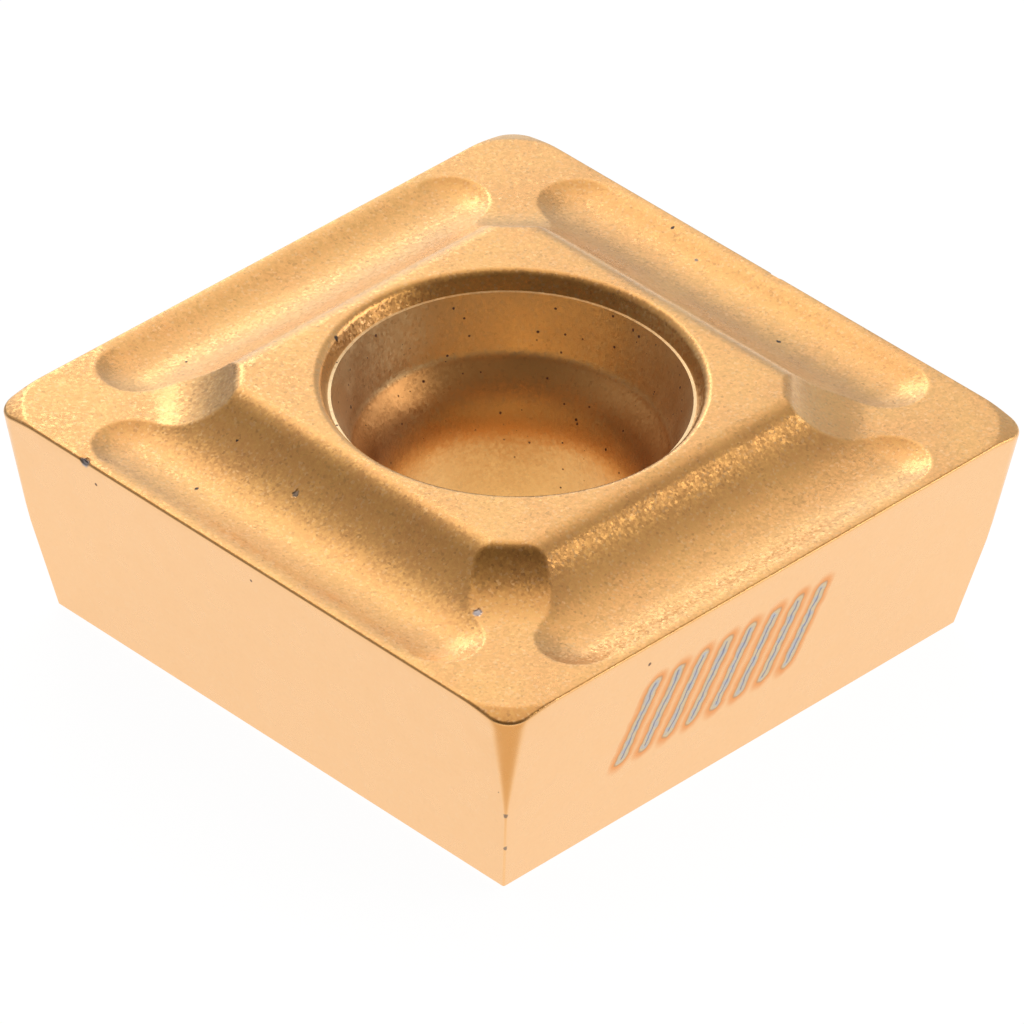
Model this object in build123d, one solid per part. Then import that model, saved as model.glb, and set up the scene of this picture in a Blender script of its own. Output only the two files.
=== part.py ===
from build123d import *
import math
import os

os.makedirs("parts", exist_ok=True)

# Square indexable cutting insert, pressed and sintered as one solid.
# Origin: middle of the seat face. +Z: towards the chip-breaking face.
# Lengths in mm, angles in degrees. "Rise" and "depth" count from the cutting edge plane.

# Body
side = 9.525                # cutting edge length, measured between the sharp corners
edge_height = 3.22          # seat face to cutting edge plane
relief_angle = 11.0         # lean of the flanks
nose_radius = 0.37          # corner radius at the cutting edge
edge_hone = 0.035           # rounding along the cutting edge
seat_break = 0.04           # small bevel round the seat face

# Corner of the rake face, which dips towards the nose
nose_dip_angle = 17.0
nose_dip_radius = 1.09      # plan radius of the line where the dip begins
nose_dip_overrun = 0.02     # how far that line runs past the cutting edges

# Chip groove along each edge
land_width = 0.18
groove_depth = 0.10
groove_radius = 1.54
groove_end_inset = 1.94     # end of the groove centre line, from the neighbouring edge
lip_radius = 0.49           # rounding where the groove runs out into the island

# Scoop in front of each corner of the island
scoop_start = 2.08          # along the diagonal, from the sharp corner
scoop_radius = 1.43
scoop_crest_radius = 0.20

# Island
island_rise = 0.52
crest_angle = 10.0          # slope left where a rounded crest meets the flat island

# Screw hole
bore_radius = 1.60
throat_radius = 1.50
screw_seat_width = 0.48     # cone that carries the screw's head
screw_seat_angle = 50.0     # lean from the seat face
well_taper = 0.26           # steeper wall between the cone and the ledge
well_angle = 72.0
well_blend = 0.50
ledge_width = 0.04
ledge_rise = 0.28
rim_step = 0.12             # width of the slope above the ledge
rim_radius = 0.14
bore_exit_break = 0.08

# Derived sizes
overrun = 1.0               # how far cutting tools reach past what they cut
half = side / 2
island_z = edge_height + island_rise
groove_turn = math.degrees(math.acos(1 - groove_depth / groove_radius))
groove_half_width = groove_radius * math.sin(math.radians(groove_turn))
groove_centre = land_width + groove_half_width


def tapered_body():
    """Square prism whose flanks lean in below the edge, with conical noses."""
    outline = Plane.XY.offset(edge_height) * Rectangle(side, side)
    prism = extrude(outline, amount=-edge_height, taper=relief_angle)
    cone_length = nose_radius / math.tan(math.radians(relief_angle))
    axis = half - nose_radius
    low = (Align.CENTER, Align.CENTER, Align.MAX)
    cone = Cone(0, nose_radius, cone_length, align=low)
    block = Box(overrun, overrun, cone_length, align=(Align.MIN, Align.MIN, Align.MAX))
    corner = Pos(axis, axis, edge_height) * (block - cone)
    for turn in range(4):
        prism -= Rot(0, 0, 90 * turn) * corner
    return prism


def dip_tool():
    """Space above one dipping corner: a quarter turn outside a shallow cone."""
    drop = overrun * math.tan(math.radians(nose_dip_angle))
    inner = (nose_dip_radius, 0)
    outer = (nose_dip_radius + overrun, -drop)
    section = make_face(Polyline(inner, outer, (outer[0], overrun), (inner[0], overrun), close=True))
    ring = revolve(Plane.XZ * section, Axis.Z, 90)
    centre = half - nose_dip_radius + nose_dip_overrun
    return Pos(centre, centre, edge_height) * ring


def cutting_edges(solid):
    """Edges between the rake face and the flanks."""
    rake = [face for face in solid.faces() if face.normal_at().Z > 0.5]
    bounds = [edge for face in rake for edge in face.edges()]
    return [edge for edge in bounds if sum(edge.is_same(other) for other in bounds) == 1]


def rising_curve(start, floor_radius, crest_radius):
    """Hollow arc and rounded crest, tangent to each other, that rise from start to the island."""
    crest_fall = crest_radius * math.cos(math.radians(crest_angle))
    height = island_rise - start[1]
    steepest = math.degrees(math.acos((floor_radius + crest_fall - height) / (floor_radius + crest_radius)))
    hollow = JernArc(start, (1, 0), floor_radius, steepest)
    return hollow, JernArc(hollow @ 1, hollow % 1, crest_radius, crest_angle - steepest)


def groove_sections():
    """Outer and inner half of a groove's section: x from its centre line, y as rise."""
    bottom = (0, -groove_depth)
    roof = island_rise + overrun
    outer_arc = JernArc(bottom, (-1, 0), groove_radius, -groove_turn)
    shelf_end = -groove_centre - overrun
    shelf = Polyline(outer_arc @ 1, (shelf_end, 0), (shelf_end, roof), (0, roof), bottom)
    outer = make_face([*outer_arc.edges(), *shelf.edges()])
    hollow, lip = rising_curve(bottom, groove_radius, lip_radius)
    top = Polyline(lip @ 1, ((lip @ 1).X, roof), (0, roof), bottom)
    return outer, make_face([*hollow.edges(), *lip.edges(), *top.edges()])


def groove_tool():
    """Space above the groove along the edge at minimum y, with a bowl at each end."""
    outer, inner = groove_sections()
    reach = half - groove_end_inset
    across = Plane((0, 0, 0), x_dir=(0, 1, 0), z_dir=(1, 0, 0))
    straight = extrude(across * (outer + inner), amount=reach, both=True)
    bowl = revolve(Plane.XZ * inner, Axis.Z)
    tool = straight + Pos(reach, 0, 0) * bowl + Pos(-reach, 0, 0) * bowl
    return Pos(0, groove_centre - half, edge_height) * tool


def scoop_tool():
    """Space above the scoop at the corner of minimum x and y."""
    roof = island_rise + overrun
    hollow, lip = rising_curve((scoop_start, 0), scoop_radius, scoop_crest_radius)
    end_x = (lip @ 1).X
    back = Polyline(lip @ 1, (end_x, roof), (-overrun, roof), (-overrun, 0), (scoop_start, 0))
    section = make_face([*hollow.edges(), *lip.edges(), *back.edges()])
    across = Plane((-half, -half, edge_height), x_dir=(1, 1, 0), z_dir=(1, -1, 0))
    return extrude(across * section, amount=half, both=True)


def hole_tool():
    """Screw hole turned in one go: bevelled exit, bore, screw seat, well, ledge and rim."""
    seat_depth = screw_seat_width * math.tan(math.radians(screw_seat_angle))
    well_depth = well_taper * math.tan(math.radians(well_angle))
    well = (bore_radius + screw_seat_width + well_taper, ledge_rise)
    seat = (bore_radius + screw_seat_width, ledge_rise - well_depth)
    throat = (bore_radius, seat[1] - seat_depth)
    ledge = (well[0] + ledge_width, ledge_rise)
    rim = (ledge[0] + rim_step, island_rise)
    exit_z = -edge_height
    outline = Polyline(
        (0, exit_z - overrun),
        (bore_radius + bore_exit_break + overrun, exit_z - overrun),
        (bore_radius, exit_z + bore_exit_break),
        throat,
        seat,
        well,
        ledge,
        rim,
        (rim[0] + overrun, island_rise),
        (rim[0] + overrun, island_rise + overrun),
        (0, island_rise + overrun),
        close=True,
    )
    section = make_face(outline)
    for point, radius in ((throat, throat_radius), (seat, well_blend), (rim, rim_radius)):
        section = fillet(section.vertices().sort_by_distance(point)[0], radius)
    return Pos(0, 0, edge_height) * revolve(Plane.XZ * section, Axis.Z)


body = tapered_body()
for turn in range(4):
    body -= Rot(0, 0, 90 * turn) * dip_tool()
body = fillet(cutting_edges(body), edge_hone)
body = chamfer(body.faces().sort_by(Axis.Z)[0].edges(), seat_break)

boss_width = 2 * (half - groove_centre)
boss_height = island_rise + groove_depth + overrun
boss = Box(boss_width, boss_width, boss_height, align=(Align.CENTER, Align.CENTER, Align.MAX))
body += Pos(0, 0, island_z) * boss
for turn in range(4):
    body -= Rot(0, 0, 90 * turn) * scoop_tool()
for turn in range(4):
    body -= Rot(0, 0, 90 * turn) * groove_tool()
body -= hole_tool()

body.label = "insert"
export_step(body, "parts/insert.step")
print("insert", round(body.volume, 3), "mm3", len(body.faces()), "faces", body.is_valid)
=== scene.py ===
import bpy
import math
import numpy as np
from mathutils import Matrix, Vector
from mathutils.geometry import delaunay_2d_cdt


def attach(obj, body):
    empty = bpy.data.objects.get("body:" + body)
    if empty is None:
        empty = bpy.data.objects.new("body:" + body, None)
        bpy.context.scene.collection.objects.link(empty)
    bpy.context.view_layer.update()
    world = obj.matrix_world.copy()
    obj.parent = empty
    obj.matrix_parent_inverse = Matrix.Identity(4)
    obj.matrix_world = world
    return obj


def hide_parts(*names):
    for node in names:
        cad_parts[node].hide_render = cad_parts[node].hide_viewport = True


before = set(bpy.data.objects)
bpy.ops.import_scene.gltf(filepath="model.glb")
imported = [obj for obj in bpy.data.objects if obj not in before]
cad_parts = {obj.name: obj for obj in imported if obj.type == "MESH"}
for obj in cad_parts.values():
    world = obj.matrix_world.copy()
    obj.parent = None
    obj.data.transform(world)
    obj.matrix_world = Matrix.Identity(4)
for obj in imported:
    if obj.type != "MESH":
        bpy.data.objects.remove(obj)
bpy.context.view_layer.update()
mm = 0.001  # shapes are worked out in mm and written in metres
print("frame loaded")

# the insert, in mm and degrees; rises and depths count from the cutting edge plane
shape = {
    "side": 9.525,
    "edgeHeight": 3.22,
    "reliefAngle": 11.0,
    "noseRadius": 0.37,
    "noseMinRadius": 0.03,
    "edgeHone": 0.035,
    "seatBreak": 0.04,
    "dipAngle": 17.0,
    "dipRadius": 1.09,
    "dipOverrun": 0.02,
    "landWidth": 0.18,
    "grooveDepth": 0.10,
    "grooveRadius": 1.54,
    "grooveEndInset": 1.94,
    "lipRadius": 0.49,
    "scoopStart": 2.08,
    "scoopRadius": 1.43,
    "scoopCrestRadius": 0.20,
    "islandRise": 0.52,
    "boreRadius": 1.60,
    "throatRadius": 1.50,
    "screwSeatWidth": 0.48,
    "screwSeatAngle": 50.0,
    "wellTaper": 0.26,
    "wellAngle": 72.0,
    "wellBlend": 0.5,
    "ledgeRise": 0.28,
    "ledgeWidth": 0.04,
    "rimStep": 0.12,
    "rimRadius": 0.14,
    "exitBreak": 0.08,
    "softening": 0.03,      # radius over which pressed ridges are rounded
}
half = shape["side"] / 2
relief = math.tan(math.radians(shape["reliefAngle"]))

# how finely its surface is divided
meshing = {
    "sideSteps": 240,       # points along one side of the outline, without the nose
    "noseSteps": 20,
    "honeSteps": 6,
    "flankSteps": 12,
    "flankGrading": 1.4,    # above 1, the rings of the flank crowd towards the cutting edge
    "holeSteps": 392,
    "holeRingGap": 0.35,
    "arcStep": 4.0,         # degrees between the points of a rounded corner
    "arcMinSteps": 3,
    "edgeProbe": 0.01,      # how far inside the outline the height of the edge is taken
    "edgeMargin": 0.05,     # free points keep this far from the honed edge
    "rimMargin": 0.03,      # and this far from the rim of the hole
    "coarseCell": 0.20,
    "fineCell": 0.025,      # cells don't shrink past this where the face only bends
    "wornCell": 0.010,      # nor past this where it is worn
    "cellTolerance": 0.0010,
    "mergeGap": 0.003125,   # free points closer than this become one
    "heightTolerance": 0.001,
    "softRings": ((0.5, 6), (1.0, 10)),     # share of the softening radius, and points on that ring
    "softMiddleWeight": 2,
    "sharpAngle": 32.0,     # edges that bend more than this stay sharp in the shading
}


# rise of a groove or scoop over its foot: a hollow arc that runs into a rounded crest
def risingCurve(distance, floorRadius, floorDepth, crestRadius):
    rise = shape["islandRise"]
    steepest = math.acos(1 - (rise + floorDepth) / (floorRadius + crestRadius))
    arcEnd = floorRadius * math.sin(steepest)
    crestEnd = arcEnd + crestRadius * math.sin(steepest)
    hollow = floorRadius - floorDepth - np.sqrt(np.maximum(floorRadius**2 - distance**2, 0))
    fromCrest = np.clip(crestEnd - distance, 0, crestRadius)
    crest = rise - crestRadius + np.sqrt(crestRadius**2 - fromCrest**2)
    return np.where(distance > arcEnd, crest, hollow)


def grooveHeight(inward, along):
    halfWidth = math.sqrt(2 * shape["grooveRadius"] * shape["grooveDepth"] - shape["grooveDepth"]**2)
    across = inward - shape["landWidth"] - halfWidth
    past = np.maximum(np.abs(along) - half + shape["grooveEndInset"], 0)
    distance = np.where(past > 0, np.hypot(across, past), np.abs(across))
    height = risingCurve(distance, shape["grooveRadius"], shape["grooveDepth"], shape["lipRadius"])
    onShelf = (past == 0) & (across < 0)
    return np.where(onShelf, np.minimum(height, 0), height)


def scoopHeight(diagonal):
    fromFoot = np.maximum(diagonal - shape["scoopStart"], 0)
    return risingCurve(fromFoot, shape["scoopRadius"], 0, shape["scoopCrestRadius"])


def sharpRake(x, y):
    height = np.full(np.shape(x), shape["islandRise"])
    dipCentre = half - shape["dipRadius"] + shape["dipOverrun"]
    dipSlope = math.tan(math.radians(shape["dipAngle"]))
    for cosine, sine in ((1, 0), (0, 1), (-1, 0), (0, -1)):
        along = cosine * x + sine * y
        inward = half - sine * x + cosine * y
        height = np.minimum(height, grooveHeight(inward, along))
        height = np.minimum(height, scoopHeight((inward + along + half) / math.sqrt(2)))
        toNose = (half - inward - dipCentre, -along - dipCentre)
        beyond = np.hypot(*toNose) - shape["dipRadius"]
        beyond = np.where((toNose[0] > 0) & (toNose[1] > 0), np.maximum(beyond, 0), 0)
        height = np.minimum(height, np.where(beyond > 0, -beyond * dipSlope, height))
    return height


# chips and pits of the rake face: place, half length and half width, all in mm
wear = {
    "frontEdgeChip": {"place": (-2.99, -4.745), "reach": (0.080, 0.062), "depth": 0.036},
    "rearEdgeChip": {"place": (0.13, 4.765), "reach": (0.085, 0.055), "depth": 0.050},
    "groovePit": {"place": (-0.561, -3.331), "reach": (0.050, 0.065), "depth": 0.012},
    "grooveEndPit": {"place": (2.806, -3.382), "reach": (0.065, 0.070), "depth": 0.008},
    "landPit": {"place": (-1.62, -4.70), "reach": (0.030, 0.025), "depth": 0.012},
}
# the outline of a chip or pit waves in and out: number of waves, their share of the reach, their start
wearWaves = {"broad": (3, 0.16, 0.7), "narrow": (5, 0.10, 2.1)}
wearWallShare = 0.45


def wearDepth(x, y):
    depth = np.zeros(np.shape(x))
    for mark in wear.values():
        across = (x - mark["place"][0]) / mark["reach"][0]
        down = (y - mark["place"][1]) / mark["reach"][1]
        turn = np.arctan2(down, across)
        ragged = 1
        for count, share, start in wearWaves.values():
            ragged = ragged + share * np.cos(count * turn + start)
        inside = np.clip((1 - np.hypot(across, down) / ragged) / wearWallShare, 0, 1)
        depth = depth + mark["depth"] * inside * inside * (3 - 2 * inside)
    return depth


# the same face with every ridge softened, by averaging over two small rings, and worn
def rakeHeight(x, y):
    weight = meshing["softMiddleWeight"]
    total = weight * sharpRake(x, y)
    for share, count in meshing["softRings"]:
        reach = share * shape["softening"]
        for step in range(count):
            turn = 2 * math.pi * step / count
            total = total + sharpRake(x + reach * math.cos(turn), y + reach * math.sin(turn))
            weight += 1
    return total / weight - wearDepth(x, y)


# for one side and the nose after it: how far along the straight part, and how far round the nose
def outlineSteps():
    sideShare = np.linspace(-1, 1, meshing["sideSteps"], endpoint=False)
    noseTurn = np.linspace(0, math.pi / 2, meshing["noseSteps"], endpoint=False)
    share = np.concatenate([sideShare, np.ones(len(noseTurn))])
    return share, np.concatenate([np.zeros(len(sideShare)), noseTurn])


# plan outline, pulled in by an offset; the noses shrink to cones and then to a fine edge
def outline(offset):
    share, turn = outlineSteps()
    offset = np.broadcast_to(offset, (4, len(share)))
    radius = np.maximum(shape["noseRadius"] - offset, shape["noseMinRadius"])
    reach = half - offset - radius
    along = reach * share + radius * np.sin(turn)
    out = -reach - radius * np.cos(turn)
    points = []
    for quarter in range(4):
        angle = quarter * math.pi / 2
        x = along[quarter] * math.cos(angle) - out[quarter] * math.sin(angle)
        y = along[quarter] * math.sin(angle) + out[quarter] * math.cos(angle)
        points.append(np.stack([x, y], 1))
    return np.concatenate(points)


def outlineNormals():
    turn = outlineSteps()[1]
    angle = np.concatenate([turn + quarter * math.pi / 2 for quarter in range(4)]) - math.pi / 2
    return np.stack([np.cos(angle), np.sin(angle)], 1)


# outline of the leaning flank, with a depth for each of its points
def flankRing(depth):
    return np.column_stack([outline((depth * relief).reshape(4, -1)), -depth])


# rings from the rake face over the honed edge, down the flank and round the seat edge
def flankRings():
    normals = outlineNormals()
    probe = outline(0) - meshing["edgeProbe"] * normals
    edgeRise = rakeHeight(probe[:, 0], probe[:, 1])
    reliefAngle = math.radians(shape["reliefAngle"])
    turn = math.pi / 2 + reliefAngle
    tangent = shape["edgeHone"] * math.tan(turn / 2)
    sharp = flankRing(-edgeRise)
    start = sharp[:, :2] - tangent * normals
    start = np.column_stack([start, rakeHeight(start[:, 0], start[:, 1])])
    endDepth = -edgeRise + tangent * math.cos(reliefAngle)
    end = flankRing(endDepth)
    rings = []
    weight = math.cos(turn / 2)
    for share in np.linspace(0, 1, meshing["honeSteps"] + 1):
        a, b, c = (1 - share)**2, 2 * share * (1 - share) * weight, share**2
        rings.append((a * start + b * sharp + c * end) / (a + b + c))
    seatDepth = shape["edgeHeight"] - shape["seatBreak"] * math.cos(reliefAngle)
    for step in range(1, meshing["flankSteps"] + 1):
        share = (step / meshing["flankSteps"])**meshing["flankGrading"]
        rings.append(flankRing(endDepth + share * (seatDepth - endDepth)))
    seat = outline(shape["edgeHeight"] * relief + shape["seatBreak"])
    rings.append(np.column_stack([seat, np.full(len(seat), -shape["edgeHeight"])]))
    return rings


# a path with its corners rounded
def roundedPath(path, radii):
    points = [path[0]]
    for before, corner, after, radius in zip(path, path[1:], path[2:], radii):
        if radius == 0:
            points.append(corner)
            continue
        into = Vector(corner) - Vector(before)
        turn = into.angle_signed(Vector(after) - Vector(corner))
        side = -math.copysign(1, turn)
        start = Vector(corner) - into.normalized() * radius * math.tan(abs(turn) / 2)
        inward = Vector((-into.y, into.x)).normalized() * side
        centre = start + inward * radius
        count = max(meshing["arcMinSteps"], int(math.degrees(abs(turn)) / meshing["arcStep"]))
        for step in range(count + 1):
            angle = side * abs(turn) * step / count
            offset = Matrix.Rotation(angle, 2) @ (-inward * radius)
            points.append(tuple(centre + offset))
    points.append(path[-1])
    return points


# section of the screw hole, from the island to the seat face: radius and rise of each point
def holeSection():
    bore, rise = shape["boreRadius"], shape["ledgeRise"]
    wellSlope = math.tan(math.radians(shape["wellAngle"]))
    seatSlope = math.tan(math.radians(shape["screwSeatAngle"]))
    seat = (bore + shape["screwSeatWidth"], rise - shape["wellTaper"] * wellSlope)
    throat = (bore, seat[1] - shape["screwSeatWidth"] * seatSlope)
    well = (seat[0] + shape["wellTaper"], rise)
    ledge = (well[0] + shape["ledgeWidth"], rise)
    rim = (ledge[0] + shape["rimStep"], shape["islandRise"])
    onIsland = (rim[0] + 1, rim[1])
    foot = -shape["edgeHeight"]
    exitTop, exitFoot = (bore, foot + shape["exitBreak"]), (bore + shape["exitBreak"], foot)
    path = [onIsland, rim, ledge, well, seat, throat, exitTop, exitFoot]
    radii = [shape["rimRadius"], 0, 0, shape["wellBlend"], shape["throatRadius"], 0]
    points = roundedPath(path, radii)[1:]
    fine = []
    for first, second in zip(points, points[1:]):
        parts = max(1, int(math.dist(first, second) / meshing["holeRingGap"]))
        for part in range(parts):
            fine.append(tuple(a + part / parts * (b - a) for a, b in zip(first, second)))
    return fine + [points[-1]]


def circle(radius):
    turns = np.linspace(0, 2 * math.pi, meshing["holeSteps"], endpoint=False)
    return np.stack([radius * np.cos(turns), radius * np.sin(turns)], 1)


# middles and corners of square cells that shrink where the face bends or is worn
def gradedPoints():
    middle = [(0, 0)]
    corners = [(-1, -1), (1, -1), (1, 1), (-1, 1)]
    sides = [(0, -1), (1, 0), (0, 1), (-1, 0)]
    cell = meshing["coarseCell"]
    count = int(math.ceil(shape["side"] / cell))
    grid = (np.arange(count) - (count - 1) / 2) * cell
    x, y = [axis.ravel() for axis in np.meshgrid(grid, grid)]
    found = []
    while len(x):
        reach = cell / 2
        heights = [rakeHeight(x + dx * reach, y + dy * reach) for dx, dy in middle + corners + sides]
        atMiddle, atCorners, atSides = heights[0], heights[1:5], heights[5:]
        bend = np.abs(sum(atCorners) / 4 - atMiddle)
        for first, second, between in zip(atCorners, atCorners[1:] + atCorners[:1], atSides):
            bend = np.maximum(bend, np.abs((first + second) / 2 - between))
        worn = np.zeros(len(x), bool)
        for mark in wear.values():
            # a little more than the mark and half the diagonal of a cell
            near = max(mark["reach"]) * 1.2 + reach * 1.5
            worn |= np.hypot(x - mark["place"][0], y - mark["place"][1]) < near
        bent = (bend > meshing["cellTolerance"]) & (cell > meshing["fineCell"])
        split = bent | (worn & (cell > meshing["wornCell"]))
        for dx, dy in middle + corners:
            found.append(np.stack([x[~split] + dx * reach, y[~split] + dy * reach], 1))
        cell /= 2
        x = np.concatenate([x[split] + dx * cell / 2 for dx, dy in corners])
        y = np.concatenate([y[split] + dy * cell / 2 for dx, dy in corners])
    points = np.concatenate(found)
    keys = np.round(points / meshing["mergeGap"]).astype(int)
    return points[np.unique(keys, axis=0, return_index=True)[1]]


# flat triangulation between two closed loops, over free points between them
def fillBetween(outer, inner, free):
    outerIds = list(range(len(outer)))
    innerIds = list(range(len(outer), len(outer) + len(inner)))
    edges = [(a, b) for loop in (outerIds, innerIds) for a, b in zip(loop, loop[1:] + loop[:1])]
    points = np.concatenate([outer, inner, free])
    result = delaunay_2d_cdt([Vector(p) for p in points.tolist()], edges, [], 0, 1e-7)
    origin = [ids[0] if ids else -1 for ids in result[3]]
    faces = [[origin[i] for i in face] for face in result[2]]
    hole = set(innerIds)
    return [face for face in faces if not hole.issuperset(face)]


def buildInsert():
    rings = flankRings()
    section = holeSection()
    holeRings = [np.column_stack([circle(r), np.full(meshing["holeSteps"], z)]) for r, z in section]
    rim = section[0][0]
    free = gradedPoints()
    inset = half - 0.5 * shape["softening"] - shape["edgeHone"] - meshing["edgeMargin"]
    corner = np.maximum(np.abs(free) - (inset - shape["noseRadius"]), 0)
    inside = np.hypot(corner[:, 0], corner[:, 1]) < shape["noseRadius"]
    outside = np.hypot(free[:, 0], free[:, 1]) > rim + meshing["rimMargin"]
    free = free[outside & inside]
    print("free points on the rake face", len(free))

    vertices = [*rings, *holeRings, np.column_stack([free, rakeHeight(free[:, 0], free[:, 1])])]
    starts = np.cumsum([0] + [len(ring) for ring in vertices])
    ids = [list(range(start, stop)) for start, stop in zip(starts, starts[1:])]
    outerIds, holeIds, freeIds = ids[:len(rings)], ids[len(rings):-1], ids[-1]
    faces = []
    kinds = []

    def bridge(first, second, kind):
        for quad in zip(first, second, second[1:] + second[:1], first[1:] + first[:1]):
            faces.append(quad)
            kinds.append(kind)

    for k in range(len(rings) - 1):
        bridge(outerIds[k], outerIds[k + 1], "rake" if k < meshing["honeSteps"] // 2 else "flank")
    for k in range(len(holeRings) - 1):
        onRim = section[k][1] > shape["ledgeRise"] + meshing["heightTolerance"]
        bridge(holeIds[k + 1], holeIds[k], "rake" if onRim else "hole")
    loopIds = outerIds[0] + holeIds[0] + freeIds
    for face in fillBetween(rings[0][:, :2], circle(rim), free):
        faces.append(tuple(loopIds[i] for i in face))
        kinds.append("rake")
    loopIds = outerIds[-1] + holeIds[-1]
    for face in fillBetween(rings[-1][:, :2], holeRings[-1][:, :2], np.empty((0, 2))):
        faces.append(tuple(loopIds[i] for i in reversed(face)))
        kinds.append("flank")
    coordinates = np.concatenate(vertices)
    coordinates[:, 2] += shape["edgeHeight"]
    mesh = bpy.data.meshes.new("insertMesh")
    mesh.from_pydata((coordinates * mm).tolist(), [], faces)
    return mesh, kinds


# shader helpers; an input is named by its label, or by i and its number
def addNode(tree, kind, settings=None, **inputs):
    node = tree.nodes.new(kind)
    for name, value in (settings or {}).items():
        setattr(node, name, value)
    for name, value in inputs.items():
        byNumber = name[0] == "i" and name[1:].isdigit()
        socket = node.inputs[int(name[1:]) if byNumber else name.replace("_", " ")]
        if isinstance(value, bpy.types.NodeSocket):
            tree.links.new(value, socket)
        else:
            socket.default_value = value
    return node


def mathNode(tree, operation, first, second=0.0, third=0.0, clamp=False):
    settings = {"operation": operation, "use_clamp": clamp}
    return addNode(tree, "ShaderNodeMath", settings, i0=first, i1=second, i2=third).outputs[0]


def multiply(tree, first, second):
    return mathNode(tree, "MULTIPLY", first, second)


def vectorNode(tree, operation, first, second=(0, 0, 0), **named):
    settings = {"operation": operation}
    node = addNode(tree, "ShaderNodeVectorMath", settings, i0=first, i1=second, **named)
    return node.outputs["Value" if operation in ("LENGTH", "DOT_PRODUCT") else "Vector"]


def rangeNode(tree, value, low, high, newLow=0.0, newHigh=1.0, smooth=True):
    settings = {"interpolation_type": "SMOOTHSTEP" if smooth else "LINEAR"}
    ends = {"From_Min": low, "From_Max": high, "To_Min": newLow, "To_Max": newHigh}
    return addNode(tree, "ShaderNodeMapRange", settings, Value=value, **ends).outputs["Result"]


def noiseNode(tree, place, scale, detail, roughness=0.5):
    return addNode(tree, "ShaderNodeTexNoise", Vector=place, Scale=scale, Detail=detail, Roughness=roughness)


def mixColour(tree, factor, first, second, blend="MIX"):
    settings = {"data_type": "RGBA", "blend_type": blend}
    return addNode(tree, "ShaderNodeMix", settings, i0=factor, i6=first, i7=second).outputs[2]


def groupNode(tree, group, **inputs):
    return addNode(tree, "ShaderNodeGroup", {"node_tree": group}, **inputs).outputs


# an empty group; an input is a vector where its default is one, and so is an output named in vectors
def newGroup(name, inputs, outputs, vectors=()):
    tree = bpy.data.node_groups.new(name, "ShaderNodeTree")
    for label, value in inputs.items():
        kind = "NodeSocketVector" if isinstance(value, tuple) else "NodeSocketFloat"
        tree.interface.new_socket(label, in_out="INPUT", socket_type=kind).default_value = value
    for label in (*vectors, *outputs):
        kind = "NodeSocketVector" if label in vectors else "NodeSocketFloat"
        tree.interface.new_socket(label, in_out="OUTPUT", socket_type=kind)
    start = tree.nodes.new("NodeGroupInput")
    end = tree.nodes.new("NodeGroupOutput")
    return tree, start.outputs, end.inputs


# every texture is placed by object coordinates, in mm
def placeInMm(tree):
    place = addNode(tree, "ShaderNodeTexCoord").outputs["Object"]
    return vectorNode(tree, "SCALE", place, Scale=1 / mm)


# how the grain is made up; a threshold is the pair of cell values where a mask begins and is full
grainMake = {
    "clumpsPerCrystal": 0.7, "clumpDetail": 2.0, "clumpRoughness": 0.6,
    "mottleDetail": 3.0, "mottleRoughness": 0.55,
    "crystalInTone": 0.55, "clumpInTone": 0.45,
    "clumpContrast": (0.3, 0.7), "mottleContrast": (0.32, 0.68),
    "paintedGlintThreshold": (0.88, 0.94), "dullThreshold": (0.09, 0.04),
}
greyMiddle = (0.5, 0.5, 0.5)


# pressed powder grain: each crystal leans its own way and has its own tone and hue, and a few crystals are
# marked for a painted glint
def buildGrain():
    inputs = {"Grain Size": 0.04, "Mottle Size": 0.6, "Lean": 0.1}
    outputs = ("Tone", "Hue", "Mottle", "PaintedGlint", "Dull")
    tree, given, made = newGroup("coatingGrain", inputs, outputs, vectors=("Normal",))
    place = placeInMm(tree)
    fineScale = mathNode(tree, "DIVIDE", 1.0, given["Grain Size"])
    crystals = addNode(tree, "ShaderNodeTexVoronoi", Vector=place, Scale=fineScale).outputs["Color"]
    pick = addNode(tree, "ShaderNodeSeparateColor", Color=crystals).outputs
    clumpScale = multiply(tree, fineScale, grainMake["clumpsPerCrystal"])
    clumps = noiseNode(tree, place, clumpScale, grainMake["clumpDetail"], grainMake["clumpRoughness"]).outputs
    coarseScale = mathNode(tree, "DIVIDE", 1.0, given["Mottle Size"])
    coarse = noiseNode(tree, place, coarseScale, grainMake["mottleDetail"], grainMake["mottleRoughness"])

    facet = vectorNode(tree, "SUBTRACT", crystals, greyMiddle)
    swell = vectorNode(tree, "SUBTRACT", clumps["Color"], greyMiddle)
    lean = vectorNode(tree, "SCALE", vectorNode(tree, "ADD", facet, swell), Scale=given["Lean"])
    surface = addNode(tree, "ShaderNodeNewGeometry").outputs["Normal"]
    normal = vectorNode(tree, "NORMALIZE", vectorNode(tree, "ADD", surface, lean))
    tree.links.new(normal, made["Normal"])

    clumpTone = rangeNode(tree, clumps[0], *grainMake["clumpContrast"])
    clumpTone = multiply(tree, clumpTone, grainMake["clumpInTone"])
    tone = mathNode(tree, "MULTIPLY_ADD", pick[0], grainMake["crystalInTone"], clumpTone)
    tree.links.new(tone, made["Tone"])
    tree.links.new(pick[1], made["Hue"])
    # the brightest crystals are marked for a painted glint, the dullest for a darker tone
    tree.links.new(rangeNode(tree, pick[2], *grainMake["paintedGlintThreshold"]), made["PaintedGlint"])
    tree.links.new(rangeNode(tree, pick[2], *grainMake["dullThreshold"]), made["Dull"])
    tree.links.new(rangeNode(tree, coarse.outputs[0], *grainMake["mottleContrast"]), made["Mottle"])
    return tree


# the largest pits are rare, since a random size is raised to the power of the spread
pitMake = {"sizeSpread": 1.5, "edgeSoftness": 0.45, "raggedness": 0.5, "leastReach": 0.0001}


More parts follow.
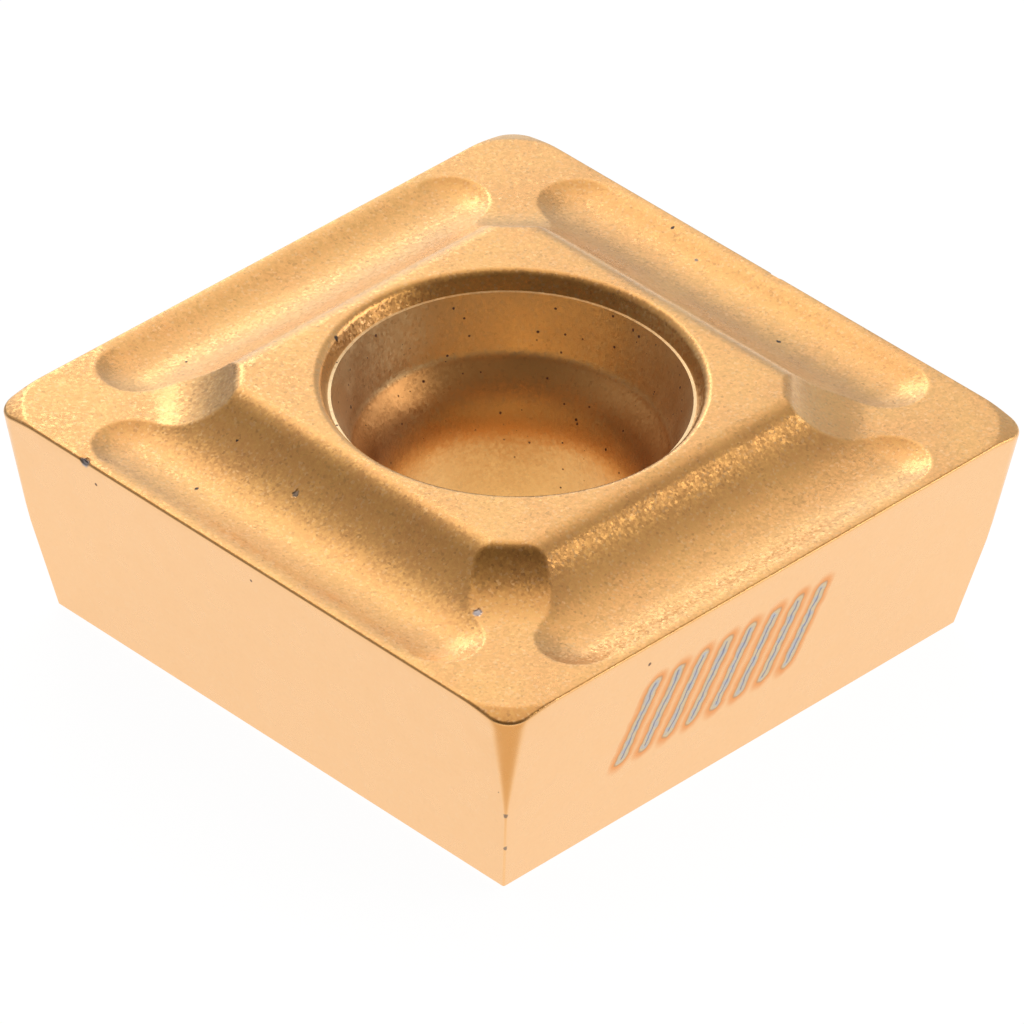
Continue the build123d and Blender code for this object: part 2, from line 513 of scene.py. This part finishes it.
# scattered dark pits, most of them too small to see
def buildPits():
    inputs = {"Spacing": 0.5, "Pit Radius": 0.03, "Share": 0.3}
    tree, given, made = newGroup("sinterPits", inputs, ("Mask",))
    place = placeInMm(tree)
    scale = mathNode(tree, "DIVIDE", 1.0, given["Spacing"])
    cells = addNode(tree, "ShaderNodeTexVoronoi", Vector=place, Scale=scale).outputs
    pick = addNode(tree, "ShaderNodeSeparateColor", Color=cells["Color"]).outputs
    chosen = mathNode(tree, "LESS_THAN", pick[0], given["Share"])
    largest = multiply(tree, given["Pit Radius"], scale)
    size = multiply(tree, largest, mathNode(tree, "POWER", pick[1], pitMake["sizeSpread"]))
    raggedScale = mathNode(tree, "DIVIDE", pitMake["raggedness"], given["Pit Radius"])
    ragged = noiseNode(tree, place, raggedScale, 1.0).outputs[0]
    reach = multiply(tree, size, mathNode(tree, "ADD", ragged, 0.5))
    reach = mathNode(tree, "ADD", reach, pitMake["leastReach"])
    away = mathNode(tree, "DIVIDE", cells["Distance"], reach)
    spot = rangeNode(tree, mathNode(tree, "SUBTRACT", 1.0, away), 0.0, pitMake["edgeSoftness"])
    tree.links.new(multiply(tree, spot, chosen), made["Mask"])
    return tree


# place on the insert in mm, shaken so that outlines come out ragged
def buildRaggedPlace():
    tree, given, made = newGroup("raggedPlace", {"Scale": 20.0, "Reach": 0.05}, (), vectors=("Place",))
    place = placeInMm(tree)
    shake = noiseNode(tree, place, given["Scale"], 2.0).outputs["Color"]
    shift = vectorNode(tree, "SCALE", vectorNode(tree, "SUBTRACT", shake, greyMiddle), Scale=given["Reach"])
    tree.links.new(vectorNode(tree, "ADD", place, shift), made["Place"])
    return tree


speckFade = (1.25, 0.6)  # shares of the radius where a speck begins and is full


# one small mark round a given centre; Stretch squeezes it along the three axes
def buildSpeck():
    inputs = {"Place": (0.0, 0.0, 0.0), "Centre": (0.0, 0.0, 0.0), "Radius": 0.03, "Stretch": (1.0, 1.0, 1.0)}
    tree, given, made = newGroup("wearSpeck", inputs, ("Mask",))
    away = vectorNode(tree, "SUBTRACT", given["Place"], given["Centre"])
    away = vectorNode(tree, "LENGTH", vectorNode(tree, "MULTIPLY", away, given["Stretch"]))
    share = mathNode(tree, "DIVIDE", away, given["Radius"])
    tree.links.new(rangeNode(tree, share, *speckFade), made["Mask"])
    return tree


# generic marking of slanted strokes in a row on one flank; lengths in mm, from the stroke's edge or line
hatch = {
    "start": -2.36, "count": 8, "middleHeight": 1.82, "halfHeight": 0.56,
    "pitch": 0.43, "strokeWidth": 0.19, "slant": 0.32,
    "onlyBeyond": 4.0,
    "raggedScale": 5.0, "raggedReach": 0.09,
    "bandEdge": (0.012, -0.016), "coreEdge": (0.022, 0.006),
    "rimEdge": (0.026, 0.004), "haloEdge": (0.17, 0.0),
    "innerEdge": (0.08, 0.03), "innerTint": 0.8,
    "tintScale": 8.0, "tintDetail": 3.0, "tintRoughness": 0.65,
    "tintContrast": (0.42, 0.62), "tintRange": (-0.5, 0.5),
}


# a thin core line in a band with a dark rim and a heat-tinted halo
def buildHatch():
    inputs = {"Pitch": 0.4, "Stroke Width": 0.2, "Slant": 0.3}
    tree, given, made = newGroup("hatchMark", inputs, ("Band", "Core", "Rim", "Halo", "Tint"))
    place = groupNode(tree, raggedGroup, Scale=hatch["raggedScale"], Reach=hatch["raggedReach"])["Place"]
    x, y, z = addNode(tree, "ShaderNodeSeparateXYZ", Vector=place).outputs
    fromMiddle = mathNode(tree, "SUBTRACT", z, hatch["middleHeight"])
    along = mathNode(tree, "SUBTRACT", y, hatch["start"])
    along = mathNode(tree, "SUBTRACT", along, multiply(tree, fromMiddle, given["Slant"]))
    cell = mathNode(tree, "WRAP", along, given["Pitch"], 0.0)
    across = mathNode(tree, "ABSOLUTE", mathNode(tree, "SUBTRACT", cell, multiply(tree, given["Pitch"], 0.5)))
    number = mathNode(tree, "FLOOR", mathNode(tree, "DIVIDE", along, given["Pitch"]))
    strokesAway = mathNode(tree, "SUBTRACT", number, (hatch["count"] - 1) / 2)
    inRow = mathNode(tree, "LESS_THAN", mathNode(tree, "ABSOLUTE", strokesAway), hatch["count"] / 2)
    here = multiply(tree, inRow, mathNode(tree, "GREATER_THAN", x, hatch["onlyBeyond"]))
    above = mathNode(tree, "SUBTRACT", mathNode(tree, "ABSOLUTE", fromMiddle), hatch["halfHeight"])
    above = mathNode(tree, "MAXIMUM", above, 0.0)
    squares = mathNode(tree, "ADD", multiply(tree, across, across), multiply(tree, above, above))
    fromLine = mathNode(tree, "SQRT", squares)
    fromEdge = mathNode(tree, "SUBTRACT", fromLine, multiply(tree, given["Stroke Width"], 0.5))
    toRim = mathNode(tree, "ABSOLUTE", fromEdge)
    masks = {"Band": (fromEdge, "bandEdge"), "Core": (fromLine, "coreEdge"), "Rim": (toRim, "rimEdge"),
             "Halo": (fromEdge, "haloEdge")}
    for label, (distance, edge) in masks.items():
        tree.links.new(multiply(tree, here, rangeNode(tree, distance, *hatch[edge])), made[label])
    tint = noiseNode(tree, place, hatch["tintScale"], hatch["tintDetail"], hatch["tintRoughness"]).outputs[0]
    tint = rangeNode(tree, tint, *hatch["tintContrast"], *hatch["tintRange"])
    inner = multiply(tree, rangeNode(tree, fromLine, *hatch["innerEdge"]), hatch["innerTint"])
    tree.links.new(mathNode(tree, "ADD", inner, tint, clamp=True), made["Tint"])
    return tree


grainGroup = buildGrain()
pitsGroup = buildPits()
raggedGroup = buildRaggedPlace()
speckGroup = buildSpeck()
hatchGroup = buildHatch()
print("shader groups built")

# the coating on the rake face, the flanks and in the hole; lengths in mm
coatings = {
    "rakeCoating": {
        "headOn": (0.98, 0.44, 0.108, 1), "slanting": (0.99, 0.68, 0.34, 1),
        "shade": (0.78, 0.77, 0.75, 1), "rosy": (1.0, 0.95, 0.96, 1), "leafy": (0.95, 1.0, 0.94, 1),
        "paintedGlint": (1.0, 0.84, 0.58, 1), "paintedGlintShare": 0.11, "dullShare": 0.16,
        "grainSize": 0.034, "mottleSize": 0.9, "lean": 0.12,
        "roughness": (0.27, 0.36), "coat": 0.25,
        "pitColour": (0.10, 0.075, 0.06, 1), "pitSpacing": 0.55, "pitRadius": 0.030, "pitShare": 0.12,
    },
    "flankCoating": {
        "headOn": (1.0, 0.53, 0.19, 1), "slanting": (1.0, 0.67, 0.385, 1),
        "shade": (0.975, 0.97, 0.965, 1), "rosy": (1.0, 0.985, 0.97, 1), "leafy": (1.0, 1.0, 0.98, 1),
        "paintedGlint": (1.0, 0.75, 0.50, 1), "paintedGlintShare": 0.06, "dullShare": 0.02,
        "grainSize": 0.05, "mottleSize": 0.5, "lean": 0.006,
        "roughness": (0.26, 0.34), "coat": 0.10,
        "pitColour": (0.28, 0.17, 0.11, 1), "pitSpacing": 0.36, "pitRadius": 0.036, "pitShare": 0.20,
    },
    # in the hole the same coating is painted in paler colours with a weaker grain tone, which is painted
    # light; its pits, grain and roughness are its own
    "holeCoating": {
        "headOn": (0.97, 0.58, 0.22, 1), "slanting": (0.98, 0.74, 0.45, 1),
        "shade": (0.94, 0.94, 0.92, 1), "rosy": (1.0, 0.98, 0.95, 1), "leafy": (0.98, 1.0, 0.97, 1),
        "paintedGlint": (1.0, 0.76, 0.42, 1), "paintedGlintShare": 0.08, "dullShare": 0.12,
        "grainSize": 0.036, "mottleSize": 0.8, "lean": 0.08,
        "roughness": (0.36, 0.46), "coat": 0.05,
        "pitColour": (0.20, 0.11, 0.07, 1), "pitSpacing": 0.11, "pitRadius": 0.030, "pitShare": 0.40,
    },
}
coatRoughness = 0.35
mottleInTone, mottleInHue = 0.3, 0.4
pitRoughening = 0.25

# how much of each part of the hatch covers the coating, and its colour
hatchColours = {
    "Halo": {"cover": 0.95, "colour": (0.88, 0.33, 0.075, 1)},
    "Band": {"cover": 0.9, "colour": (0.68, 0.56, 0.34, 1), "tinted": (0.46, 0.50, 0.53, 1)},
    "Rim": {"cover": 0.55, "colour": (0.50, 0.27, 0.12, 1)},
    "Core": {"cover": 0.8, "colour": (0.20, 0.19, 0.26, 1)},
}

# painted shade and light down the hole, with the heights where each fades in and out: darker, bluer painted
# shade on the throat, warmer painted shade on the screw seat, and paler painted light on the well
paintedHoleShading = {
    "throat": {"tint": (0.78, 0.82, 0.92, 1), "fadeIn": (1.70, 2.00), "fadeOut": (2.50, 2.20)},
    "screwSeat": {"tint": (0.90, 0.70, 0.57, 1), "fadeIn": (2.05, 2.35), "fadeOut": (2.74, 2.66)},
    "well": {"tint": (1.03, 1.12, 1.32, 1), "fadeIn": (2.66, 2.76)},
}

# single marks of the rake face and the noses, in mm from the origin
specks = {
    "bare": {"colour": (0.44, 0.38, 0.37, 1), "marks": {
        "frontEdgeChip": {
            "Centre": (*wear["frontEdgeChip"]["place"], 3.21), "Radius": 0.070, "Stretch": (0.9, 1.25, 0.8),
        },
        "rearEdgeChip": {"Centre": (0.08, 4.77, 3.20), "Radius": 0.055, "Stretch": (0.7, 1.0, 1.0)},
        "grooveEndPit": {
            "Centre": (*wear["grooveEndPit"]["place"], 3.24), "Radius": 0.060, "Stretch": (1.0, 0.9, 0.9),
        },
    }},
    "brown": {"colour": (0.36, 0.25, 0.17, 1), "marks": {
        "groovePit": {
            "Centre": (*wear["groovePit"]["place"], 3.285), "Radius": 0.046, "Stretch": (1.1, 0.8, 0.8),
        },
        "scratch": {"Centre": (-0.900, 4.310, 3.143), "Radius": 0.050, "Stretch": (1.6, 1.6, 1.0)},
        "noseSpeck": {"Centre": (4.402, -4.407, 1.439), "Radius": 0.030, "Stretch": (1.0, 1.0, 0.8)},
        "lowNoseSpeck": {"Centre": (4.288, -4.276, 0.799), "Radius": 0.030, "Stretch": (1.0, 1.0, 0.7)},
    }},
    "dark": {"colour": (0.065, 0.045, 0.035, 1), "marks": {
        "grooveWallSpeck": {"Centre": (-1.808, -3.166, 3.390), "Radius": 0.020, "Stretch": (1.0, 1.0, 1.0)},
        "grooveFloorSpeck": {"Centre": (-1.672, -4.017, 3.120), "Radius": 0.028, "Stretch": (1.2, 0.8, 1.0)},
        "landSpeck": {"Centre": (-1.583, 4.550, 3.205), "Radius": 0.024, "Stretch": (1.0, 0.7, 1.0)},
        "rearSpeck": {"Centre": (1.142, 3.765, 3.145), "Radius": 0.030, "Stretch": (0.8, 1.0, 1.0)},
        "rimSpeck": {"Centre": (-2.285, -0.947, 3.682), "Radius": 0.034, "Stretch": (1.0, 1.0, 0.6)},
    }},
}
speckRaggedness = {"Scale": 22.0, "Reach": 0.05}


def addSpecks(tree, colour):
    place = groupNode(tree, raggedGroup, **speckRaggedness)["Place"]
    for kind in specks.values():
        mask = None
        for mark in kind["marks"].values():
            spot = groupNode(tree, speckGroup, Place=place, **mark)["Mask"]
            mask = spot if mask is None else mathNode(tree, "MAXIMUM", mask, spot)
        colour = mixColour(tree, mask, colour, kind["colour"])
    return colour


# paints shade and light on the hole's coating by height
def addPaintedHoleShading(tree, colour):
    height = addNode(tree, "ShaderNodeSeparateXYZ", Vector=placeInMm(tree)).outputs[2]
    for zone in paintedHoleShading.values():
        mask = rangeNode(tree, height, *zone["fadeIn"])
        if "fadeOut" in zone:
            mask = multiply(tree, mask, rangeNode(tree, height, *zone["fadeOut"]))
        colour = mixColour(tree, mask, colour, mixColour(tree, 1.0, colour, zone["tint"], "MULTIPLY"))
    return colour


def addHatch(tree, colour):
    sizes = {"Pitch": hatch["pitch"], "Stroke_Width": hatch["strokeWidth"], "Slant": hatch["slant"]}
    marks = groupNode(tree, hatchGroup, **sizes)
    for label, look in hatchColours.items():
        mark = look["colour"]
        if "tinted" in look:
            mark = mixColour(tree, marks["Tint"], mark, look["tinted"])
        colour = mixColour(tree, multiply(tree, marks[label], look["cover"]), colour, mark)
    return colour


def coatingMaterial(name):
    look = coatings[name]
    material = bpy.data.materials.new(name)
    material.use_nodes = True
    tree = material.node_tree
    shader = tree.nodes["Principled BSDF"]
    shader.inputs["Metallic"].default_value = 1.0
    shader.inputs["Coat Weight"].default_value = look["coat"]
    shader.inputs["Coat Roughness"].default_value = coatRoughness
    sizes = {"Grain_Size": look["grainSize"], "Mottle_Size": look["mottleSize"], "Lean": look["lean"]}
    grain = groupNode(tree, grainGroup, **sizes)
    sizes = {"Spacing": look["pitSpacing"], "Pit_Radius": look["pitRadius"], "Share": look["pitShare"]}
    pits = groupNode(tree, pitsGroup, **sizes)["Mask"]
    mottleTone = multiply(tree, grain["Mottle"], mottleInTone)
    tone = mathNode(tree, "ADD", multiply(tree, grain["Tone"], 1 - mottleInTone), mottleTone)
    mottleHue = multiply(tree, grain["Mottle"], mottleInHue)
    hue = mathNode(tree, "ADD", multiply(tree, grain["Hue"], 1 - mottleInHue), mottleHue)
    # the coating is painted yellower where it is seen at a slant, a painted sheen
    slant = addNode(tree, "ShaderNodeLayerWeight", Blend=0.5).outputs["Facing"]
    colour = mixColour(tree, slant, look["headOn"], look["slanting"])
    shade = mixColour(tree, tone, look["shade"], (1, 1, 1, 1))
    colour = mixColour(tree, 1.0, colour, shade, "MULTIPLY")
    tint = mixColour(tree, hue, look["rosy"], look["leafy"])
    colour = mixColour(tree, 1.0, colour, tint, "MULTIPLY")
    # a painted glint on single crystals, brighter than the coating, in place of their sparkle
    colour = mixColour(tree, multiply(tree, grain["PaintedGlint"], look["paintedGlintShare"]), colour, look["paintedGlint"])
    dark = mathNode(tree, "MAXIMUM", pits, multiply(tree, grain["Dull"], look["dullShare"]))
    colour = mixColour(tree, dark, colour, look["pitColour"])
    colour = addPaintedHoleShading(tree, colour) if name == "holeCoating" else addSpecks(tree, colour)
    if name == "flankCoating":
        colour = addHatch(tree, colour)
    tree.links.new(colour, shader.inputs["Base Color"])
    rough = rangeNode(tree, grain["Mottle"], 0.0, 1.0, *look["roughness"], smooth=False)
    rough = mathNode(tree, "ADD", rough, multiply(tree, pits, pitRoughening))
    tree.links.new(rough, shader.inputs["Roughness"])
    tree.links.new(grain["Normal"], shader.inputs["Normal"])
    return material


insertMesh, faceKinds = buildInsert()
kindOrder = ["rake", "flank", "hole"]
for kind in kindOrder:
    insertMesh.materials.append(coatingMaterial(kind + "Coating"))
insertMesh.polygons.foreach_set("material_index", [kindOrder.index(kind) for kind in faceKinds])
insertMesh.polygons.foreach_set("use_smooth", [True] * len(faceKinds))
insertMesh.set_sharp_from_angle(angle=math.radians(meshing["sharpAngle"]))
insert = bpy.data.objects.new("insertPressed", insertMesh)
bpy.context.collection.objects.link(insert)
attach(insert, "root")
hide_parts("insert")
print("insert built", len(insertMesh.polygons), "faces")

# the white floor and the room; the floor's radius and drop in metres, places on it in mm
studio = {
    "benchAzimuth": 134.43,     # plan direction in which the studio is brightest
    "floorRadius": 1.5,
    "floorSteps": 96,
    "floorDrop": 0.00001,
    "floorGrey": (0.9, 0.9, 0.9, 1),
    "floorWhite": 1.09,
    "floorShade": 0.12,         # how much of the lit floor, with its shadow, shows in its white
    # painted shade and a warm painted pool of light on the floor under the insert
    "holeDim": (0.46, 0.29, 0.15, 1),
    "holeLit": (1.0, 0.88, 0.70, 1),
    "holeFade": (-1.4, 0.6),
    "holeEdge": (2.0, 3.6),
    # painted shade in the floor in front of the nose, seen only in reflections
    "frontDim": (0.72, 0.58, 0.38, 1),      # what the floor in front of the nose sends up
    "frontEdge": (-6.55, -7.5),
    "frontReach": (14.0, 9.0),
    "leftDim": 0.52,            # how bright the low left of the room is, against the rest of it
    "leftTurn": (0.40, 0.58),
    "leftReach": (10.0, 16.0),
    "leftHeight": (0.45, 0.15),
    "dimSide": (0.135, 0.13, 0.125, 1),
    "brightSide": (0.60, 0.60, 0.60, 1),
    "roomFade": (-0.65, 0.55),
}
benchTurn = math.radians(studio["benchAzimuth"])
towardsBack = (math.cos(benchTurn), math.sin(benchTurn), 0)
towardsLeft = (-math.sin(benchTurn), math.cos(benchTurn), 0)


def floorColour(tree, glossyRay):
    place = placeInMm(tree)
    away = vectorNode(tree, "LENGTH", place)
    toBack = vectorNode(tree, "DOT_PRODUCT", place, towardsBack)
    toLeft = vectorNode(tree, "DOT_PRODUCT", place, towardsLeft)
    # under the insert the floor is lit only by what the screw hole lets through
    # the floor's colour there is painted shade, warmer and brighter where that light falls
    shaded = rangeNode(tree, toBack, *studio["holeFade"])
    shaded = mixColour(tree, shaded, studio["holeDim"], studio["holeLit"])
    colour = mixColour(tree, rangeNode(tree, away, *studio["holeEdge"]), shaded, (1, 1, 1, 1))
    # metal mirrors a dimmer floor in front of the nearest corner and far to the left
    # both are painted shade in the floor's white, seen only in reflections
    front = rangeNode(tree, toBack, *studio["frontEdge"])
    front = multiply(tree, front, rangeNode(tree, away, *studio["frontReach"]))
    colour = mixColour(tree, multiply(tree, front, glossyRay), colour, studio["frontDim"])
    left = rangeNode(tree, mathNode(tree, "DIVIDE", toLeft, away), *studio["leftTurn"])
    left = multiply(tree, left, rangeNode(tree, away, *studio["leftReach"]))
    left = multiply(tree, multiply(tree, left, glossyRay), 1 - studio["leftDim"])
    return mixColour(tree, left, colour, (0, 0, 0, 1))


def buildFloor():
    turns = [2 * math.pi * step / studio["floorSteps"] for step in range(studio["floorSteps"])]
    rim = [(studio["floorRadius"] * math.cos(t), studio["floorRadius"] * math.sin(t), 0) for t in turns]
    mesh = bpy.data.meshes.new("floorMesh")
    mesh.from_pydata(rim, [], [list(range(len(rim)))])
    floor = bpy.data.objects.new("floor", mesh)
    floor.location.z = -studio["floorDrop"]
    bpy.context.collection.objects.link(floor)
    material = bpy.data.materials.new("whiteSweep")
    material.use_nodes = True
    tree = material.node_tree
    tree.nodes.remove(tree.nodes["Principled BSDF"])
    path = addNode(tree, "ShaderNodeLightPath").outputs
    lit = addNode(tree, "ShaderNodeBsdfDiffuse", Color=studio["floorGrey"])
    colour = floorColour(tree, path["Is Glossy Ray"])
    white = addNode(tree, "ShaderNodeEmission", Color=colour, Strength=studio["floorWhite"])
    seen = mathNode(tree, "MAXIMUM", path["Is Camera Ray"], path["Is Glossy Ray"])
    seen = mathNode(tree, "MAXIMUM", seen, path["Is Transmission Ray"])
    share = multiply(tree, seen, 1 - studio["floorShade"])
    mix = addNode(tree, "ShaderNodeMixShader", i0=share, i1=lit.outputs[0], i2=white.outputs[0])
    tree.links.new(mix.outputs[0], tree.nodes["Material Output"].inputs["Surface"])
    mesh.materials.append(material)


# azimuth is the plan direction from the insert to the lamp, from +X towards +Y; lengths in metres
softboxes = {
    "backSoftbox": {
        "azimuth": 147, "elevation": 34, "distance": 0.12, "size": (0.085, 0.100), "radiance": 0.44,
    },
    "topSoftbox": {
        "azimuth": 134, "elevation": 69, "distance": 0.12, "size": (0.100, 0.090), "radiance": 0.42,
    },
    "sideSoftbox": {
        "azimuth": 48, "elevation": 20, "distance": 0.12, "size": (0.080, 0.042), "radiance": 2.2,
    },
    "keySoftbox": {
        "azimuth": 149.5, "elevation": 31.5, "distance": 0.24, "size": (0.052, 0.052), "radiance": 2.9,
    },
    "lowSoftbox": {
        "azimuth": 152, "elevation": 7, "distance": 0.12, "size": (0.050, 0.024), "radiance": 0.65,
    },
}
softboxAim = Vector((0, 0, 0.0035))


def buildSoftbox(name, box):
    lamp = bpy.data.lights.new(name, "AREA")
    lamp.shape = "RECTANGLE"
    lamp.size, lamp.size_y = box["size"]
    lamp.energy = box["radiance"] * math.pi * box["size"][0] * box["size"][1]
    azimuth, elevation = math.radians(box["azimuth"]), math.radians(box["elevation"])
    flat = math.cos(elevation)
    direction = Vector((math.cos(azimuth) * flat, math.sin(azimuth) * flat, math.sin(elevation)))
    obj = bpy.data.objects.new(name, lamp)
    obj.location = direction * box["distance"] + softboxAim
    obj.rotation_euler = direction.to_track_quat("Z", "Y").to_euler()
    bpy.context.collection.objects.link(obj)


# the room: dim on one side, brighter towards the softboxes, and dimmer low on the left
def buildWorld():
    world = bpy.data.worlds.new("studioWorld")
    world.use_nodes = True
    tree = world.node_tree
    direction = addNode(tree, "ShaderNodeTexCoord").outputs["Generated"]
    toBack = vectorNode(tree, "DOT_PRODUCT", direction, towardsBack)
    toLeft = vectorNode(tree, "DOT_PRODUCT", direction, towardsLeft)
    height = addNode(tree, "ShaderNodeSeparateXYZ", Vector=direction).outputs[2]
    share = rangeNode(tree, toBack, *studio["roomFade"], smooth=False)
    colour = mixColour(tree, share, studio["dimSide"], studio["brightSide"])
    left = rangeNode(tree, toLeft, *studio["leftTurn"])
    left = multiply(tree, left, rangeNode(tree, height, *studio["leftHeight"]))
    colour = mixColour(tree, multiply(tree, left, 1 - studio["leftDim"]), colour, (0, 0, 0, 1))
    tree.links.new(colour, tree.nodes["Background"].inputs["Color"])
    bpy.context.scene.world = world


buildFloor()
for name, box in softboxes.items():
    buildSoftbox(name, box)
buildWorld()
print("studio built")

# angles in degrees, distance and shifts in mm, clip in metres
cameraSetup = {
    "azimuth": 44.43, "elevation": 35.91, "roll": 1.54,
    "distance": 154.6, "shiftRight": 0.073, "shiftUp": 1.338,
    "focalPixels": 11833.6, "frameWidth": 1024, "sensorWidth": 36.0, "clip": (0.01, 10),
}


def buildCamera():
    azimuth, elevation, roll = (math.radians(cameraSetup[key]) for key in ("azimuth", "elevation", "roll"))
    flat = math.cos(elevation)
    back = Vector((math.sin(azimuth) * flat, -math.cos(azimuth) * flat, math.sin(elevation)))
    level = Vector((math.cos(azimuth), math.sin(azimuth), 0))
    upright = back.cross(level)
    right = level * math.cos(roll) + upright * math.sin(roll)
    up = upright * math.cos(roll) - level * math.sin(roll)
    lens = bpy.data.cameras.new("benchCamera")
    lens.sensor_width = cameraSetup["sensorWidth"]
    lens.lens = cameraSetup["sensorWidth"] * cameraSetup["focalPixels"] / cameraSetup["frameWidth"]
    lens.clip_start, lens.clip_end = cameraSetup["clip"]
    camera = bpy.data.objects.new("benchCamera", lens)
    shift = right * cameraSetup["shiftRight"] + up * cameraSetup["shiftUp"]
    place = (shift + back * cameraSetup["distance"]) * mm
    camera.matrix_world = Matrix.Translation(place) @ Matrix((right, up, back)).transposed().to_4x4()
    bpy.context.collection.objects.link(camera)
    bpy.context.scene.camera = camera


buildCamera()
bpy.context.scene.view_settings.view_transform = "Standard"
print("camera placed")
